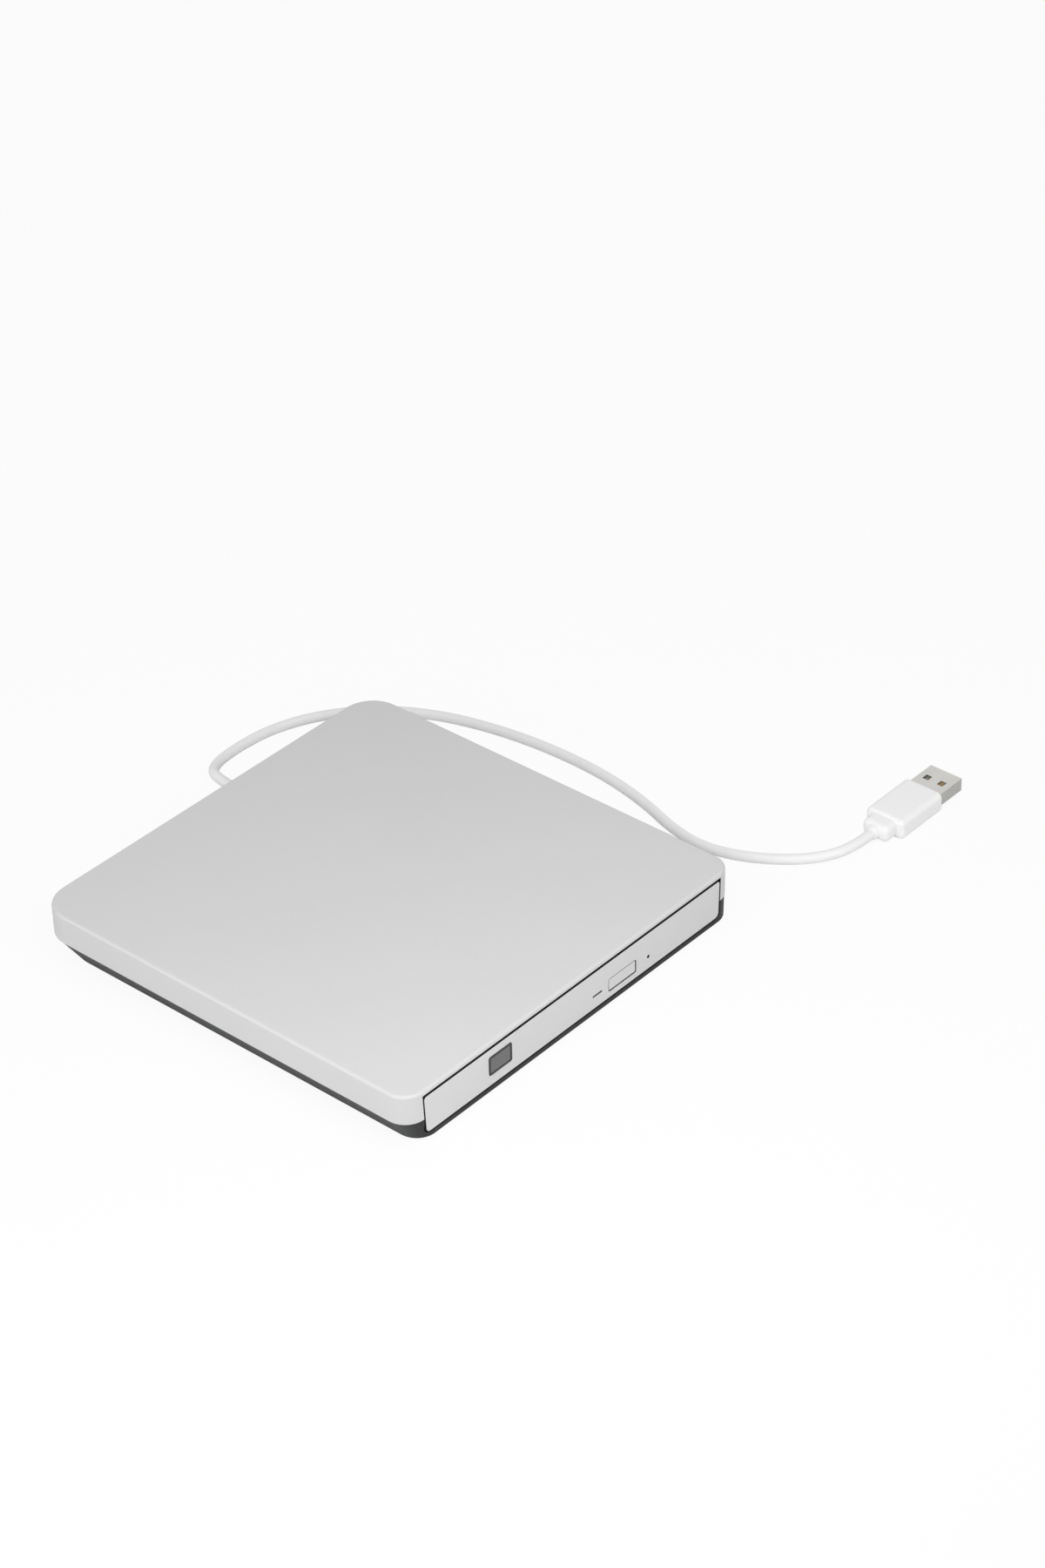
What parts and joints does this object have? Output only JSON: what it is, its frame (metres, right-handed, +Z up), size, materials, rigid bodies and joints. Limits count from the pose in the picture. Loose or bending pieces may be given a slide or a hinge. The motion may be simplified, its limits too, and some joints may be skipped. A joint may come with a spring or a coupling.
{
  "type": "external optical drive",
  "caption": "Slim external disc drive with a sliding tray, spindle, moving pickup, eject button and a short captive USB cable.",
  "frame": {"origin": "centre of the case in plan, on the surface that its feet stand on", "axes": "+Z up, -Y towards the front where the tray comes out, +X to the right seen from the front"},
  "size_m": [0.2431, 0.1981, 0.0184],
  "materials": {
    "silver_cover": "satin silver-grey paint",
    "silver_bezel": "satin silver paint",
    "button": "satin silver paint",
    "black_base": "fine-grained charcoal plastic",
    "foot_rubber": "matt",
    "screw": "black-nickel plated",
    "sheet_steel": "zinc-plated sheet",
    "guide_plastic": "moulded",
    "rail_steel": "drawn",
    "tray_plastic": "fine-grained black plastic",
    "clear": "frosted clear",
    "circuit_board": "solder mask",
    "component": "moulded",
    "lamp": "clear",
    "cover_plate": "brushed sheet",
    "frame_steel": "pressed sheet",
    "damper_rubber": "soft",
    "rod_steel": "ground",
    "motor": "plated",
    "sled_metal": "die-cast",
    "lens_mount": "moulded",
    "lens_glass": "coated",
    "turntable_plastic": "moulded",
    "ring_rubber": "soft",
    "claw_plastic": "moulded",
    "lever_plastic": "moulded",
    "flex": "polyimide",
    "cable_white": "soft white jacket",
    "plug_white": "satin white moulding",
    "plug_steel": "nickel",
    "plug_insert": "moulded",
    "contact_gold": "gold flash"
  },
  "bodies": {
    "case": {"top_cover": "silver_cover", "base_cover": "black_base", "rubber_feet": "foot_rubber", "case_screws": "screw", "small_screws": "screw", "drive_pan": "sheet_steel", "drive_lid": "sheet_steel", "rail_guide_right": "guide_plastic", "rail_guide_left": "guide_plastic", "latch_pin": "rod_steel", "bridge_board": "circuit_board", "bridge_chips": "component", "bridge_connector": "component", "drive_board": "circuit_board", "drive_chips": "component", "drive_connector": "component", "flex_ribbon": "flex", "cable_boot": "cable_white", "usb_cord": "cable_white", "plug_overmold": "plug_white", "plug_shell": "plug_steel", "plug_tongue": "plug_insert", "plug_contacts": "contact_gold"},
    "tray": {"disc_tray": "tray_plastic", "front_bezel": "silver_bezel", "light_pipe": "clear", "tray_board": "circuit_board", "eject_switch": "component", "status_lamp": "lamp", "traverse_frame": "frame_steel", "dampers": "damper_rubber", "damper_screws": "screw", "guide_rods": "rod_steel", "sled_motor": "motor", "pickup_cover": "cover_plate", "cover_screws": "screw", "spindle_motor": "motor", "latch_pivot": "rod_steel", "latch_magnet": "motor"},
    "rail_right": {"slide_rail_right": "rail_steel"},
    "rail_left": {"slide_rail_left": "rail_steel"},
    "turntable": {"turntable": "turntable_plastic", "hub_claws": "claw_plastic", "turntable_ring": "ring_rubber"},
    "pickup": {"pickup_sled": "sled_metal"},
    "lens": {"lens_holder": "lens_mount", "lens": "lens_glass"},
    "lead_screw": {"lead_screw": "rod_steel"},
    "eject_button": {"eject_button": "button"},
    "latch": {"latch_lever": "lever_plastic"}
  },
  "joints": [
    {"name": "tray_slide", "type": "slide", "parent": "case", "child": "tray", "axis": [0, -1, 0], "range_m": [0, 0.1267]},
    {"name": "rail_right_slide", "type": "slide", "parent": "case", "child": "rail_right", "axis": [0, -1, 0], "range_m": [0, 0.06335]},
    {"name": "rail_left_slide", "type": "slide", "parent": "case", "child": "rail_left", "axis": [0, -1, 0], "range_m": [0, 0.06335]},
    {"name": "turntable_spin", "type": "hinge", "parent": "tray", "child": "turntable", "pos_m": [0, -0.0088, 0.0122], "axis": [0, 0, 1], "continuous": true},
    {"name": "pickup_slide", "type": "slide", "parent": "tray", "child": "pickup", "axis": [0.7071, -0.7071, 0], "range_m": [0, 0.03]},
    {"name": "lead_screw_turn", "type": "hinge", "parent": "tray", "child": "lead_screw", "pos_m": [-0.00948, -0.01828, 0.0072], "axis": [0.7071, -0.7071, 0], "range_deg": [-5, 3605]},
    {"name": "lens_focus", "type": "slide", "parent": "pickup", "child": "lens", "axis": [0, 0, 1], "range_m": [-0.0002, 0.0004], "stiffness_N_per_m": 40},
    {"name": "eject_press", "type": "slide", "parent": "tray", "child": "eject_button", "axis": [0, 1, 0], "range_m": [0, 0.0007], "stiffness_N_per_m": 700, "springref_m": -0.0003},
    {"name": "latch_swing", "type": "hinge", "parent": "tray", "child": "latch", "pos_m": [-0.046, -0.061, 0.0045], "axis": [0, 0, 1], "range_deg": [-9, 0], "stiffness_Nm_per_rad": 0.004}
  ],
  "couplings": [
    {"joint": "rail_right_slide", "follows": "tray_slide", "ratio": 0.5},
    {"joint": "rail_left_slide", "follows": "tray_slide", "ratio": 0.5},
    {"joint": "lead_screw_turn", "follows": "pickup_slide", "rad_per_m": 2094.4}
  ]
}
